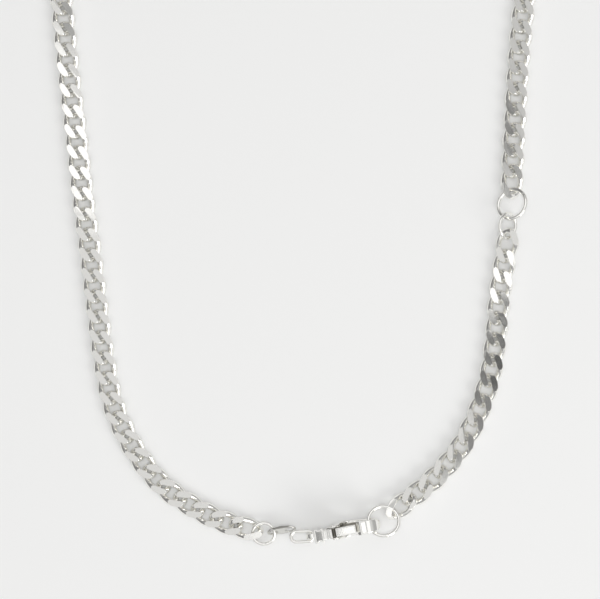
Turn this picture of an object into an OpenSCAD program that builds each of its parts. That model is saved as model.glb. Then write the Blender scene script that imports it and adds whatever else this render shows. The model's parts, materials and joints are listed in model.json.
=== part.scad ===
// Curb chain necklace with a lobster clasp, a blank tag and a short extender chain.
// It lies as one closed loop on a flat surface at z = 0, with its front at low y.

/* [Curb chain] */
// Width of the chain across its links
chain_w = 3.9; // [3.8:0.05:4]
// Distance from one link's centre to the next
link_pitch = 3.38; // [3.36:0.01:3.4]
// Thickness of the links' wire
link_wire = 1.05; // [1:0.01:1.06]
// Angle that each half of a link is twisted out of flat, in degrees
link_twist = 44; // [43:1:46]
// Slack between two links when the chain lies at its pitch
link_play = 0.5; // [0.46:0.01:0.54]
// Height of the ground facets above the wire's own centre line
facet_rise = 0.1; // [0.08:0.01:0.12]

/* [Rings] */
// Outer diameter of the ring that holds the tag
tag_ring_d = 4.15; // [4.1:0.05:4.2]
// Wire of the ring that holds the tag
tag_ring_wire = 0.56; // [0.52:0.01:0.58]
// Outer diameter of the ring that the clasp closes on
end_ring_d = 5.65; // [5.6:0.05:5.7]
// Wire of the ring that the clasp closes on
end_ring_wire = 0.64; // [0.6:0.01:0.66]
// Outer diameter of the ring between the chain and the extender
length_ring_d = 5.65; // [5.6:0.05:5.7]
// Wire of the ring between the chain and the extender
length_ring_wire = 0.64; // [0.6:0.01:0.66]
// Outer diameter of the small ring on the extender
joining_ring_d = 4.6; // [4.55:0.05:4.65]
// Wire of the small ring on the extender
joining_ring_wire = 0.58; // [0.54:0.01:0.6]
// Length of the oval link between the tag and the clasp
oval_l = 4.2; // [4.15:0.05:4.25]
// Width of the oval link
oval_w = 2.3; // [2.25:0.05:2.35]
// Wire of the oval link
oval_wire = 0.54; // [0.5:0.01:0.56]

/* [Tag] */
// Length of the tag
tag_l = 4.8; // [4.7:0.05:4.9]
// Width of the tag at its middle
tag_w = 2.6; // [2.5:0.05:2.65]
// Width of the tag at its rounded ends
tag_end_w = 2.1; // [2:0.05:2.2]
// Thickness of the tag
tag_t = 0.3; // [0.26:0.01:0.32]
// Diameter of the tag's two holes
tag_hole_d = 1.3; // [1.26:0.01:1.34]
// Distance between the centres of the tag's holes
tag_hole_gap = 2.64; // [2.6:0.02:2.7]

/* [Clasp body] */
// Length of the clasp with its tail
clasp_l = 12.4; // [12.3:0.05:12.5]
// Height of the hook above the surface that it lies on
hook_h = 5.2; // [5.1:0.05:5.3]
// Length of the hook without its tail
hook_l = 10; // [9.9:0.05:10.1]
// Width of the clasp's body at its widest
body_w = 2.8; // [2.7:0.05:2.9]
// Width of the hook at its nose
nose_w = 1.9; // [1.8:0.05:2]
// Wall between the hook's throat and its outside
hook_wall = 1; // [0.95:0.05:1.05]
// Length of the open throat inside the hook
throat_l = 5.6; // [5.5:0.05:5.7]
// Distance from the nose's outer end back to its beak
beak_l = 4; // [3.9:0.05:4.1]
// Height of the body behind the lever
shoulder_h = 3; // [2.9:0.05:3.1]
// Outer diameter of the tail's eye
eye_d = 2.5; // [2.4:0.05:2.55]
// Hole through the tail's eye
eye_hole_d = 1.4; // [1.3:0.05:1.5]
// Height of the eye's centre above the surface
eye_h = 1.5; // [1.4:0.05:1.6]
// Thickness of the tail
tail_w = 0.85; // [0.8:0.05:0.9]

/* [Clasp lever] */
// Width of the lever in the body's slot
lever_w = 1.4; // [1.3:0.05:1.45]
// Thickness of the lever's gate over the mouth
gate_t = 1; // [0.9:0.05:1.05]
// Width of the lever's thumb piece
thumb_w = 2.2; // [2.1:0.05:2.4]
// Thickness of the lever's thumb piece
thumb_t = 0.8; // [0.7:0.05:0.85]
// Length of the lever's thumb piece
thumb_l = 2.5; // [2.4:0.05:2.6]
// Distance from the hook's round back end to the pivot pin
pivot_back = 2.2; // [2.1:0.05:2.3]
// Height of the pivot pin
pivot_h = 3.5; // [3.45:0.05:3.55]
// Diameter of the pivot pin
pin_d = 0.8; // [0.7:0.05:0.85]
// Free space between the lever and the body, on each side
lever_gap = 0.1; // [0.08:0.01:0.12]
// Free space around the pivot pin
pin_gap = 0.03; // [0.02:0.01:0.04]

/* [Hidden] */

$fn = 48;
// Steps round a ring of wire, and round each of the oval link's bends as a full turn
ring_steps = 96;
silver = [0.86, 0.86, 0.85];

// The main chain's way round, seen from above, from the tag's ring up the left side.
// The first point only sets the heading of the first link.
left_way = [[-5.9, -38.3], [-9, -37.45], [-13.1, -36.2], [-18, -33.7], [-22.95, -30.1],
    [-27.4, -24.3], [-30.7, -17.2], [-32.3, -9.3], [-33.4, -1], [-34.5, 8], [-35.7, 17],
    [-36.8, 27], [-38, 37], [-39.2, 49], [-40.6, 63], [-41.8, 78], [-42.6, 93],
    [-43, 109]];
// The same chain's way down the right side. The last point only sets the heading.
right_way = [[43, 110], [42.5, 96], [41.4, 82], [39.6, 68], [37.8, 57], [36.5, 48.5],
    [35.6, 39], [35, 29.2], [34.51, 19.3], [34.4, 15.5]];
// The hidden back of the loop is an arc of this radius, centred at this distance up.
back_r = 43;
back_y = 129;
// The clasp's tail end and its turn about the vertical
clasp_pose = [[0.82, -38.77], 10.6];
// The clasp's ring hangs round its nose: how far its centre is ahead of the nose's end
// and aside of the clasp's middle.
ring_ahead = 0.54;
ring_aside = 0.22;
end_ring_at = clasp_pose[0]
    + (clasp_l + ring_ahead) * [cos(clasp_pose[1]), sin(clasp_pose[1])]
    + ring_aside * [-sin(clasp_pose[1]), cos(clasp_pose[1])];
// Each ring's centre, the direction that its axis leans to, and the lean, in degrees
tag_ring_pose = [[-6.1, -38.3, 1.01], -105, 12];
end_ring_pose = [[end_ring_at.x, end_ring_at.y, 1.92], 86, 21.5];
length_ring_pose = [[34.46, 15.6, 1.81], 153, 34.5];
joining_ring_pose = [[33.78, 12.03, 1.84], -5, 47];
// The tag's centre and its turns about x, y and z: its upper edge is raised.
tag_pose = [[-3.15, -37.82, 1.26], [61, -4, 10]];
// The oval link's centre and its turns about x, y and z
oval_pose = [[0.21, -38.73, 1.61], [0.5, 2.5, 2.5]];

// The extender's way from the clasp's ring up to its other ring, first and last as above:
// its first link hangs in the clasp's ring.
first_link_from_ring = [2.85, 2.42];
upper_way = [[21.4, -29.7], [25.8, -24.7], [29, -18.6], [31, -12.2], [31.9, -6],
    [32.5, 0.4], [33.7, 8.8], [33.8, 12]];
extender_way = concat([end_ring_at, end_ring_at + first_link_from_ring], upper_way);

// Pitch and roll of the two links at each end of a chain, where a ring lifts them
tag_end_tilts = [[-3.9, -5.4], [-0.5, -1.4]];
ring_end_tilts = [[3.1, -0.1], [0.2, 0]];
clasp_end_tilts = [[-8, -5], [-0.7, -1.6]];
joining_end_tilts = [[6.9, -1.3], [1.7, 0.5]];

// One link: its centre line is a rounded oval, twisted about its length.
link_form = 2.4;
link_half_l = (link_pitch + link_wire + link_play) / 2;
// The five-sided wire's corners stand a little outside the round wire, to keep its area.
corner_share = 1.06;
facet_wire = link_wire / 2 * corner_share;
link_half_w = chain_w / 2 - facet_wire;
wire_sides = 5;
side_turn = 360 / wire_sides;
// Stations round the link, and how far its wire's section is turned at each of them
link_stations = [30, 60, 90, 120, 150, 210, 240, 270, 300, 330];
section_turns = [0, 0, 18, 36, 36, 0, 0, 18, 36, 36];

function unit(v) = v / norm(v);
function bulge(c) = sign(c) * pow(abs(c), 2 / link_form);
function link_lean(q) = link_twist * (1.5 * q - 0.5 * pow(q, 3));
function link_mid(t) =
    let (u = link_half_l * bulge(cos(t)),
         v = link_half_w * bulge(sin(t)),
         lean = link_lean(u / link_half_l))
    [v * cos(lean), u, v * sin(lean)];
function clamp_z(p, h) = [p.x, p.y, max(-h, min(h, p.z))];
function wire_section(t, turn) =
    let (way = unit(link_mid(t + 2) - link_mid(t - 2)),
         up = unit([0, 0, 1] - way * way.z),
         side = cross(way, up))
    [for (k = [0 : wire_sides - 1])
        let (a = side_turn * (k + 0.5) + turn)
        clamp_z(link_mid(t) + facet_wire * (cos(a) * up + sin(a) * side), link_half_h)];
link_half_h = max([for (t = [0 : 2 : 180]) link_mid(t).z]) + facet_rise;
link_points = [for (i = [0 : len(link_stations) - 1])
    each wire_section(link_stations[i], section_turns[i])];
link_faces = [for (j = [0 : len(link_stations) - 1], k = [0 : wire_sides - 1])
    let (a = j * wire_sides,
         b = (j + 1) % len(link_stations) * wire_sides,
         n = (k + 1) % wire_sides)
    each [[a + k, b + n, a + n], [a + k, b + k, b + n]]];

// The link's points set down at a plan point, facing along the chain.
function link_at(at, way, tilt) =
    let (pitch = tilt[0],
         roll = tilt[1],
         ahead = [cos(way), sin(way), 0],
         right = [sin(way), -cos(way), 0],
         u = ahead * cos(pitch) + [0, 0, 1] * sin(pitch),
         w = [0, 0, 1] * cos(pitch) - ahead * sin(pitch),
         v = right * cos(roll) + w * sin(roll),
         n = w * cos(roll) - right * sin(roll),
         set = [for (p = link_points) v * p.x + u * p.y + n * p.z],
         low = min([for (p = set) p.z]))
    [for (p = set) [p.x + at.x, p.y + at.y, p.z - low]];

// A smooth way through the plan points, walked in short steps.
way_steps = 10;
function way_point(r, s) =
    let (i = min(floor(s), len(r) - 3),
         t = s - i,
         a = r[i - 1],
         b = r[i],
         c = r[i + 1],
         d = r[i + 2])
    (2 * b + (c - a) * t + (2 * a - 5 * b + 4 * c - d) * t * t
        + (3 * b - a - 3 * c + d) * t * t * t) / 2;
function walk(r) = [for (i = [0 : way_steps * (len(r) - 3)]) way_point(r, 1 + i / way_steps)];
function distances(w) = [for (i = 0, s = 0; i < len(w);
    s = s + norm(w[min(i + 1, len(w) - 1)] - w[i]), i = i + 1) s];
function along(w, d, s) = [lookup(s, [for (i = [0 : len(w) - 1]) [d[i], w[i].x]]),
    lookup(s, [for (i = [0 : len(w) - 1]) [d[i], w[i].y]])];

back_arc = [for (a = [180 : -18 : 0]) [back_r * cos(a), back_y + back_r * sin(a)]];
main_walk = walk(concat(left_way, back_arc, right_way));
main_distances = distances(main_walk);
extender_walk = walk(extender_way);
extender_distances = distances(extender_walk);

// Links spread evenly along a walk: how many of them fit, and the place of each one,
// which faces along the chord of this share of a step to each side of it.
chord_share = 0.45;
function links_on(d) = floor(d[len(d) - 1] / link_pitch) + 1;
function link_spots(w, d) =
    let (n = links_on(d),
         step = d[len(d) - 1] / (n - 1))
    [for (i = [0 : n - 1])
        let (chord = along(w, d, (i + chord_share) * step)
                - along(w, d, (i - chord_share) * step))
        [along(w, d, i * step), atan2(chord.y, chord.x)]];
main_spots = link_spots(main_walk, main_distances);
extender_spots = link_spots(extender_walk, extender_distances);
half_count = floor(len(main_spots) / 2);

function tilt_of(i, n, first, last) =
    i < len(first) ? first[i] : n - 1 - i < len(last) ? last[n - 1 - i] : [0, 0];
function links_at(spots, first, last) = [for (i = [0 : len(spots) - 1])
    link_at(spots[i][0], spots[i][1], tilt_of(i, len(spots), first, last))];
main_links = links_at(main_spots, tag_end_tilts, ring_end_tilts);
extender_set = links_at(extender_spots, clasp_end_tilts, joining_end_tilts);

// The loop's middle in plan, which stands at the origin
all_points = [for (l = main_links) each l];
ring_reach = (tag_ring_d - tag_ring_wire) / 2;
front_y = tag_ring_pose[0].y - ring_reach * cos(tag_ring_pose[2]) - tag_ring_wire / 2;
middle = [(min([for (p = all_points) p.x]) + max([for (p = all_points) p.x])) / 2,
    (front_y + max([for (p = all_points) p.y])) / 2, 0];

module chain_of(links) {
    count = len(link_points);
    translate(-middle)
        polyhedron(points = [for (l = links) each l],
            faces = [for (i = [0 : len(links) - 1], f = link_faces) [for (k = f) k + i * count]]);
}

module round_ring(d, wire, pose) {
    translate(pose[0] - middle)
        rotate([0, pose[2], pose[1]])
            rotate_extrude($fn = ring_steps)
                translate([(d - wire) / 2, 0])
                    circle(d = wire);
}

module main_chain_left() {
    color(silver)
        chain_of([for (i = [0 : half_count - 1]) main_links[i]]);
}

module main_chain_right() {
    color(silver)
        chain_of([for (i = [half_count : len(main_links) - 1]) main_links[i]]);
}

module extender_chain() {
    color(silver)
        chain_of(extender_set);
}

module tag_ring() {
    color(silver)
        round_ring(tag_ring_d, tag_ring_wire, tag_ring_pose);
}

module end_ring() {
    color(silver)
        round_ring(end_ring_d, end_ring_wire, end_ring_pose);
}

module length_ring() {
    color(silver)
        round_ring(length_ring_d, length_ring_wire, length_ring_pose);
}

module joining_ring() {
    color(silver)
        round_ring(joining_ring_d, joining_ring_wire, joining_ring_pose);
}

// Two circles of these radii, a distance apart, and all that lies between them
module joined_circles(r1, r2, gap) {
    hull() {
        circle(r1);
        translate([gap, 0])
            circle(r2);
    }
}

module tag() {
    end_shift = (tag_l - tag_end_w) / 2;
    color(silver)
        translate(tag_pose[0] - middle)
            rotate(tag_pose[1])
                difference() {
                    linear_extrude(tag_t, center = true)
                        hull() {
                            circle(d = tag_w);
                            for (x = [-end_shift, end_shift])
                                translate([x, 0])
                                    circle(d = tag_end_w);
                        }
                    for (x = [-1, 1])
                        translate([x * tag_hole_gap / 2, 0, 0])
                            cylinder(d = tag_hole_d, h = 3 * tag_t, center = true);
                }
}

module oval_link() {
    bend_r = (oval_w - oval_wire) / 2;
    straight_l = oval_l - oval_w;
    color(silver)
        translate(oval_pose[0] - middle)
            rotate(oval_pose[1])
                for (turn = [0, 180])
                    rotate(turn) {
                        translate([straight_l / 2, 0, 0])
                            rotate(-90)
                                rotate_extrude(angle = 180, $fn = ring_steps)
                                    translate([bend_r, 0])
                                        circle(d = oval_wire);
                        translate([0, bend_r, 0])
                            rotate([0, 90, 0])
                                cylinder(d = oval_wire, h = straight_l, center = true);
                    }
}

// The clasp in its own frame: x along it from the tail's end, y across it, z up.
hook_r = hook_h / 2;
nose_x = clasp_l - hook_r;
tail_x = clasp_l - hook_l;
hook_back_x = tail_x + hook_r;
throat_r = hook_r - hook_wall;
throat_x = nose_x + throat_r;
beak_x = clasp_l - beak_l;
// The body is widest this far ahead of the centre of its round back end.
wide_ahead = 1.2;
wide_x = hook_back_x + wide_ahead;
pivot_x = tail_x + pivot_back;
// Metal around the pivot's bore, in the body's cheeks and in the lever's boss
cheek_wall = 0.7;
boss_wall = 0.45;
cheek_r = pin_d / 2 + cheek_wall;
boss_r = pin_d / 2 + boss_wall;
slot_w = lever_w + 2 * lever_gap;
// How far the lever's slot runs past the cheeks, to each side
slot_reach = 0.3;
// The lever's arm reaches its full height this far ahead of the pivot, and its gate
// ends a little behind the beak.
arm_run = 0.9;
gate_gap = 0.15;
gate_end = beak_x - gate_gap;
gate_z = hook_h - gate_t / 2;
// The thumb piece starts behind the pivot, and stands a little above the hook.
thumb_back = 1.1;
thumb_lift = 0.05;
thumb_x = pivot_x - thumb_back;
thumb_z = hook_h + thumb_lift;
thumb_angle = atan2(thumb_z - pivot_h, thumb_back);
// The pin's ends stand this far inside the body's sides.
pin_inset = 0.2;
pin_l = body_w - 2 * pin_inset;

module clasp_place() {
    translate([clasp_pose[0].x, clasp_pose[0].y, 0] - middle)
        rotate(clasp_pose[1])
            children();
}

// A side outline, drawn in x and z, made into a plate across the clasp
module plate(w) {
    rotate([90, 0, 0])
        linear_extrude(w, center = true)
            children();
}

module slot_shape(x1, x2, r) {
    translate([x1, 0])
        joined_circles(r, r, x2 - x1);
}

module hook_side() {
    difference() {
        union() {
            translate([0, hook_r])
                slot_shape(hook_back_x, nose_x, hook_r);
            translate([eye_d / 2, eye_h])
                joined_circles(eye_d / 2, eye_h, hook_back_x - eye_d / 2);
        }
        translate([0, hook_r])
            slot_shape(throat_x - throat_l + throat_r, throat_x - throat_r, throat_r);
        translate([-1, shoulder_h])
            square([beak_x + 1, hook_h]);
    }
    translate([pivot_x, pivot_h])
        circle(cheek_r);
    translate([pivot_x - cheek_r, pivot_h - cheek_r])
        square([2 * cheek_r, cheek_r]);
}

module clasp_plan() {
    translate([tail_x, 0])
        joined_circles(tail_w / 2, body_w / 2, wide_x - tail_x);
    translate([wide_x, 0])
        joined_circles(body_w / 2, nose_w / 2, clasp_l - nose_w / 2 - wide_x);
    translate([0, -tail_w / 2])
        square([tail_x, tail_w]);
}

module clasp_body() {
    color(silver)
        clasp_place()
            difference() {
                intersection() {
                    plate(body_w + 1)
                        hook_side();
                    linear_extrude(hook_h)
                        clasp_plan();
                }
                translate([eye_d / 2, 0, eye_h])
                    rotate([90, 0, 0])
                        cylinder(d = eye_hole_d, h = 2 * tail_w, center = true);
                translate([pivot_x - cheek_r - slot_reach, -slot_w / 2,
                        pivot_h - boss_r - lever_gap])
                    cube([2 * (cheek_r + slot_reach), slot_w, hook_h]);
                translate([pivot_x, 0, pivot_h])
                    rotate([90, 0, 0])
                        cylinder(d = pin_d + 2 * pin_gap, h = 2 * body_w, center = true);
            }
}

module lever_arm_side() {
    translate([pivot_x, pivot_h]) {
        circle(boss_r);
        rotate(atan2(gate_z - pivot_h, arm_run))
            joined_circles(boss_r, gate_t / 2, norm([arm_run, gate_z - pivot_h]));
        rotate(180 - thumb_angle)
            joined_circles(boss_r, thumb_t / 2, norm([thumb_back, thumb_z - pivot_h]));
    }
    translate([pivot_x + arm_run, hook_h - gate_t])
        square([gate_end - pivot_x - arm_run, gate_t]);
}

module clasp_lever() {
    color(silver)
        clasp_place()
            difference() {
                union() {
                    plate(lever_w)
                        lever_arm_side();
                    plate(thumb_w)
                        translate([thumb_x - thumb_l + thumb_t, thumb_z])
                            joined_circles(thumb_t / 2, thumb_t / 2, thumb_l - thumb_t);
                }
                translate([pivot_x, 0, pivot_h])
                    rotate([90, 0, 0])
                        cylinder(d = pin_d + 2 * pin_gap, h = 2 * lever_w, center = true);
            }
}

module clasp_pin() {
    color(silver)
        clasp_place()
            translate([pivot_x, 0, pivot_h])
                rotate([90, 0, 0])
                    cylinder(d = pin_d, h = pin_l, center = true);
}

main_chain_left();
main_chain_right();
extender_chain();
tag_ring();
tag();
oval_link();
clasp_body();
clasp_lever();
clasp_pin();
end_ring();
length_ring();
joining_ring();
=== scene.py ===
"""Curb chain necklace with a lobster clasp, a blank tag and a short extender chain.

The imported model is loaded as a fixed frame. Every piece of it is modelled again here
as a finished silver piece in the same place, and lies in a plain photographic studio.
"""

import json
import logging
import math
from dataclasses import dataclass, field
from enum import Enum
from typing import Callable, Sequence

import bmesh
import bpy
import numpy as np
from mathutils import Matrix, Vector

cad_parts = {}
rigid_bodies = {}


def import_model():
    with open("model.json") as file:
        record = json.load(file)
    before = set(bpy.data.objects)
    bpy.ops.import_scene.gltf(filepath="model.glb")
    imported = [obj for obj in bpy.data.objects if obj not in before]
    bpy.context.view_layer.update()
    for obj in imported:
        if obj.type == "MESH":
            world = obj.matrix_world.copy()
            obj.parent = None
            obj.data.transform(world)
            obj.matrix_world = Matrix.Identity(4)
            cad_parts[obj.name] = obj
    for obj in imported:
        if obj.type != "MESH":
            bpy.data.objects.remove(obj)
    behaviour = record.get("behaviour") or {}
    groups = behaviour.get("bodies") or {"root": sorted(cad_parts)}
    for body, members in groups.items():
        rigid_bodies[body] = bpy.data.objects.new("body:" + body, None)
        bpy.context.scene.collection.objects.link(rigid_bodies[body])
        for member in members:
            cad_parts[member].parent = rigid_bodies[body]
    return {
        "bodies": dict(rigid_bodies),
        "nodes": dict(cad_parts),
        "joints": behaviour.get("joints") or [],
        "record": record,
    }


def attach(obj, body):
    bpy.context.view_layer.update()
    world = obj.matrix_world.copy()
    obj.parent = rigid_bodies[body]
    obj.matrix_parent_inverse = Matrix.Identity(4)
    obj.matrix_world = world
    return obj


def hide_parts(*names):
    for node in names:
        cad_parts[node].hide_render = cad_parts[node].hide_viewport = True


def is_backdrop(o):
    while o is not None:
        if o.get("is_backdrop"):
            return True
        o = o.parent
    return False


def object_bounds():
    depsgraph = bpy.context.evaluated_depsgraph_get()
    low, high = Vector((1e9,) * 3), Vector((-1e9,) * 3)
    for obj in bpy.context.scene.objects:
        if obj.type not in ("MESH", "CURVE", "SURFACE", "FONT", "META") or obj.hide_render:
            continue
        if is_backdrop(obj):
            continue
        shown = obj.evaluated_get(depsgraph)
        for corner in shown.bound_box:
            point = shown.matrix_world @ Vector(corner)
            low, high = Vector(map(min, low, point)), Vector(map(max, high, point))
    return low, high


LOG = logging.getLogger("necklace")
MM = 0.001
FULL_TURN = 2.0 * math.pi
# Points that are closer to each other than this, in millimetres, count as one
TOUCH = 1e-4
# The same for the cuts that grind a link
FINE_TOUCH = 1e-5
# An edge whose faces turn by more than this, in radians, is a sharp one
SHARP = 1.0
# A wire's own faces have this many corners, and its flats and ends have more
WIRE_CORNERS = 4
# The size of the even faces that cover a casting, in millimetres
SKIN = 0.055
# Nearly all of a noise texture's values lie between these two
NOISE_RANGE = (0.3, 0.7)
# A disc: the two coordinates of its centre, and its radius
Disc = tuple[float, float, float]


class Body(Enum):
    """The two bodies that pieces ride on."""

    NECKLACE = "necklace"
    LEVER = "lever"


class Slot(Enum):
    """The record's material slots."""

    SILVER = "polished_silver"


class Cut(Enum):
    """How one shape is combined with another."""

    ADD = "UNION"
    TAKE = "DIFFERENCE"
    KEEP = "INTERSECT"


class Layer(Enum):
    """The height in metres that a card hangs at. A lower one hides those above it."""

    BACK = 0.503
    MIDDLE = 0.5
    FRONT = 0.499


def linear(code: str) -> tuple[float, float, float, float]:
    """Turns an sRGB hex colour into Blender's linear colour.

    Args:
        code: Six hex digits after a hash sign.

    Returns:
        Red, green, blue and an alpha of one.
    """
    values = [int(code[i : i + 2], 16) / 255 for i in (1, 3, 5)]
    curve = [v / 12.92 if v <= 0.04045 else ((v + 0.055) / 1.055) ** 2.4 for v in values]
    return (curve[0], curve[1], curve[2], 1.0)


def add_node(
    tree: bpy.types.NodeTree, kind: str, sockets: dict[str | int, object], **settings: object
) -> bpy.types.Node:
    """Adds a node, sets its properties, and sets or links its input sockets.

    Args:
        tree: The node tree that the node goes into.
        kind: The node's type, such as ShaderNodeTexNoise.
        sockets: Input name or number to a value, or to the output socket to link.
        **settings: Properties of the node itself.

    Returns:
        The new node.
    """
    node = tree.nodes.new(kind)
    for name, value in settings.items():
        setattr(node, name, value)
    for name, value in sockets.items():
        if isinstance(value, bpy.types.NodeSocket):
            tree.links.new(value, node.inputs[name])
        else:
            node.inputs[name].default_value = value
    return node


@dataclass(frozen=True)
class Silver:
    """Sterling silver, worked and polished, as one finish of the necklace.

    A metal shows only what it reflects, so its roughness and its fine relief decide
    how soft the studio's lights lie on it. Clouds are patches of slightly other
    roughness. The grain is the relief, stretched along the way that the metal was
    worked, and is drawn coarser than real polishing marks, which are too fine to show.
    Lengths are in millimetres.
    """

    name: str
    colour: str = "#FBFAF6"
    roughness: float = 0.12
    roughness_spread: float = 0.06
    cloud: float = 1.6
    grain: float = 0.09
    grain_depth: float = 0.0012
    stretch: tuple[float, float, float] = (1.0, 1.0, 1.0)

    def material(self) -> bpy.types.Material:
        """Makes the finish as a node material on Object coordinates.

        Returns:
            The material, which is made once for all the pieces that have the finish.
        """
        made = bpy.data.materials.get(self.name)
        if made:
            return made
        made = bpy.data.materials.new(self.name)
        made.use_nodes = True
        tree = made.node_tree
        tree.nodes.clear()
        place = add_node(tree, "ShaderNodeTexCoord", {}).outputs["Object"]
        turned = add_node(tree, "ShaderNodeMapping", {"Vector": place, "Scale": self.stretch})
        clouds = add_node(
            tree,
            "ShaderNodeTexNoise",
            {"Vector": place, "Scale": 1 / (self.cloud * MM), "Detail": 3.0},
        )
        spread = add_node(
            tree,
            "ShaderNodeMapRange",
            {
                "Value": clouds.outputs["Fac"],
                "From Min": NOISE_RANGE[0],
                "From Max": NOISE_RANGE[1],
                "To Min": self.roughness - self.roughness_spread / 2,
                "To Max": self.roughness + self.roughness_spread / 2,
            },
        )
        grain = add_node(
            tree,
            "ShaderNodeTexNoise",
            {
                "Vector": turned.outputs["Vector"],
                "Scale": 1 / (self.grain * MM),
                "Detail": 2.0,
            },
        )
        relief = add_node(
            tree,
            "ShaderNodeBump",
            {"Height": grain.outputs["Fac"], "Distance": self.grain_depth * MM, "Strength": 1.0},
        )
        shader = add_node(
            tree,
            "ShaderNodeBsdfPrincipled",
            {
                "Base Color": linear(self.colour),
                "Metallic": 1.0,
                "Roughness": spread.outputs["Result"],
                "Normal": relief.outputs["Normal"],
            },
        )
        add_node(tree, "ShaderNodeOutputMaterial", {"Surface": shader.outputs["BSDF"]})
        return made


# Round wire that was drawn, wound and tumbled: bright, with soft mirror-like sides
DRAWN_SILVER = Silver("drawn_silver_wire", roughness=0.13, roughness_spread=0.05)
# The links' flats were ground on a wheel: slightly frosted, so they flash as one plane
GROUND_SILVER = Silver(
    "ground_silver_facet",
    roughness=0.06,
    roughness_spread=0.03,
    grain=0.05,
    grain_depth=0.0006,
    stretch=(1.0, 0.25, 1.0),
)
# The clasp was cast and polished: rounder highlights and a slightly uneven skin
CAST_SILVER = Silver(
    "cast_silver_clasp",
    roughness=0.06,
    roughness_spread=0.04,
    cloud=1.1,
    grain=0.25,
    grain_depth=0.0007,
)
# The tag was punched from rolled sheet: a satin face with a faint rolling grain
ROLLED_SILVER = Silver(
    "rolled_silver_sheet",
    colour="#DCDBD7",
    roughness=0.18,
    roughness_spread=0.08,
    grain=0.06,
    grain_depth=0.0015,
    stretch=(0.2, 1.0, 1.0),
)
# Sheared edges of sheet aren't polished, so they are duller than its faces; their darker colour is
# partly that and partly painted shade along the tag's long edges
SHEARED_SILVER_AND_SHADE = Silver(
    "sheared_silver_edge_and_painted_shade",
    colour="#96948F",
    roughness=0.34,
    roughness_spread=0.1,
    grain_depth=0.003,
)
# The clasp's recesses keep a rougher casting skin, and their darker colour is painted shade, so
# slots read as dark lines
RECESS_SHADE_SILVER = Silver(
    "painted_shade_silver_recess",
    colour="#8E8B84",
    roughness=0.4,
    roughness_spread=0.1,
    grain=0.15,
    grain_depth=0.004,
)


@dataclass(frozen=True)
class Pose:
    """Where a piece lies: its centre and its own three axes, in metres in the frame."""

    centre: Vector
    axes: Matrix

    def matrix(self) -> Matrix:
        """The pose as a matrix that takes the piece's millimetres to the frame."""
        turned = self.axes.to_4x4() @ Matrix.Scale(MM, 4)
        return Matrix.Translation(self.centre) @ turned


def pose_of(points: np.ndarray) -> Pose:
    """Finds the pose of a symmetric piece from its corner points.

    The longest spread is the piece's Y, the middle one its X and the least one its Z.
    Y is turned to face the back of the loop and Z to face up.

    Args:
        points: Corner points in metres.

    Returns:
        The centre and the right-handed axes.
    """
    centre = points.mean(axis=0)
    _, axes = np.linalg.eigh(np.cov((points - centre).T))
    up = Vector(axes[:, 0])
    ahead = Vector(axes[:, 2])
    if up.z < 0:
        up = -up
    if ahead.y < 0:
        ahead = -ahead
    side = ahead.cross(up)
    return Pose(Vector(centre), Matrix((side, ahead, up)).transposed())


class Frame:
    """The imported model: the fixed places that the finished pieces take."""

    def __init__(self) -> None:
        """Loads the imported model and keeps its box."""
        self.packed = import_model()
        self.box = [list(corner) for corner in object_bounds()]

    def solids(self, node: str) -> list[np.ndarray]:
        """Reads where the loose solids of a CAD node are.

        Args:
            node: The node's name.

        Returns:
            One array of corner points for each loose solid, in metres.
        """
        mesh = bmesh.new()
        mesh.from_mesh(self.packed["nodes"][node].data)
        bmesh.ops.remove_doubles(mesh, verts=mesh.verts, dist=TOUCH * MM)
        seen: set[bmesh.types.BMVert] = set()
        found = []
        for start in mesh.verts:
            if start in seen:
                continue
            seen.add(start)
            group = [start]
            for vert in group:
                for edge in vert.link_edges:
                    other = edge.other_vert(vert)
                    if other not in seen:
                        seen.add(other)
                        group.append(other)
            found.append(np.array([vert.co[:] for vert in group]))
        mesh.free()
        return found

    def poses(self, node: str) -> list[Pose]:
        """The pose of each loose solid of a CAD node."""
        return [pose_of(points) for points in self.solids(node)]

    def pivot_pose(self, back: float, up: float) -> Pose:
        """The pose of the clasp's own frame, from where its lever turns.

        Args:
            back: How far the frame's origin is behind the pivot, in millimetres.
            up: How far the pivot stands above the frame's origin, in millimetres.

        Returns:
            The pose with X along the clasp, Y across it and Z up.
        """
        joint = self.packed["joints"][0]
        across = -Vector(joint["axis"]).normalized()
        along = across.cross(Vector((0, 0, 1)))
        origin = Vector(joint["pos_m"]) - along * back * MM - Vector((0, 0, up * MM))
        return Pose(origin, Matrix((along, across, Vector((0, 0, 1)))).transposed())


def finish_piece(
    shape: bmesh.types.BMesh,
    name: str,
    node: str,
    finishes: Sequence[Silver],
    place: Matrix,
    body: Body = Body.NECKLACE,
) -> bpy.types.Object:
    """Makes a shape a piece of the model, in place of a CAD node.

    Args:
        shape: The finished mesh. It is freed here.
        name: The piece's name.
        node: The CAD node that the piece stands for.
        finishes: The finish of each of the mesh's material numbers.
        place: The matrix that takes the mesh to metres in the frame.
        body: The body that the piece rides on.

    Returns:
        The new object.
    """
    bmesh.ops.transform(shape, matrix=place, verts=shape.verts)
    data = bpy.data.meshes.new(name)
    shape.to_mesh(data)
    shape.free()
    for finish in finishes:
        data.materials.append(finish.material())
    piece = bpy.data.objects.new(name, data)
    bpy.context.scene.collection.objects.link(piece)
    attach(piece, body.value)
    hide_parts(node)
    LOG.info("%s: %d faces, rides on %s", name, len(data.polygons), body.value)
    return piece


def shade(shape: bmesh.types.BMesh, has_flats: bool = False) -> None:
    """Shades a shape smooth, apart from a wire's flats and ends where it has them."""
    for face in shape.faces:
        face.smooth = not (has_flats and len(face.verts) > WIRE_CORNERS)


def dress(shape: bmesh.types.BMesh, second: Callable[[bmesh.types.BMFace], bool]) -> None:
    """Gives the second finish to the faces that the test picks, and the first to the others."""
    for face in shape.faces:
        face.material_index = int(second(face))


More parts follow.
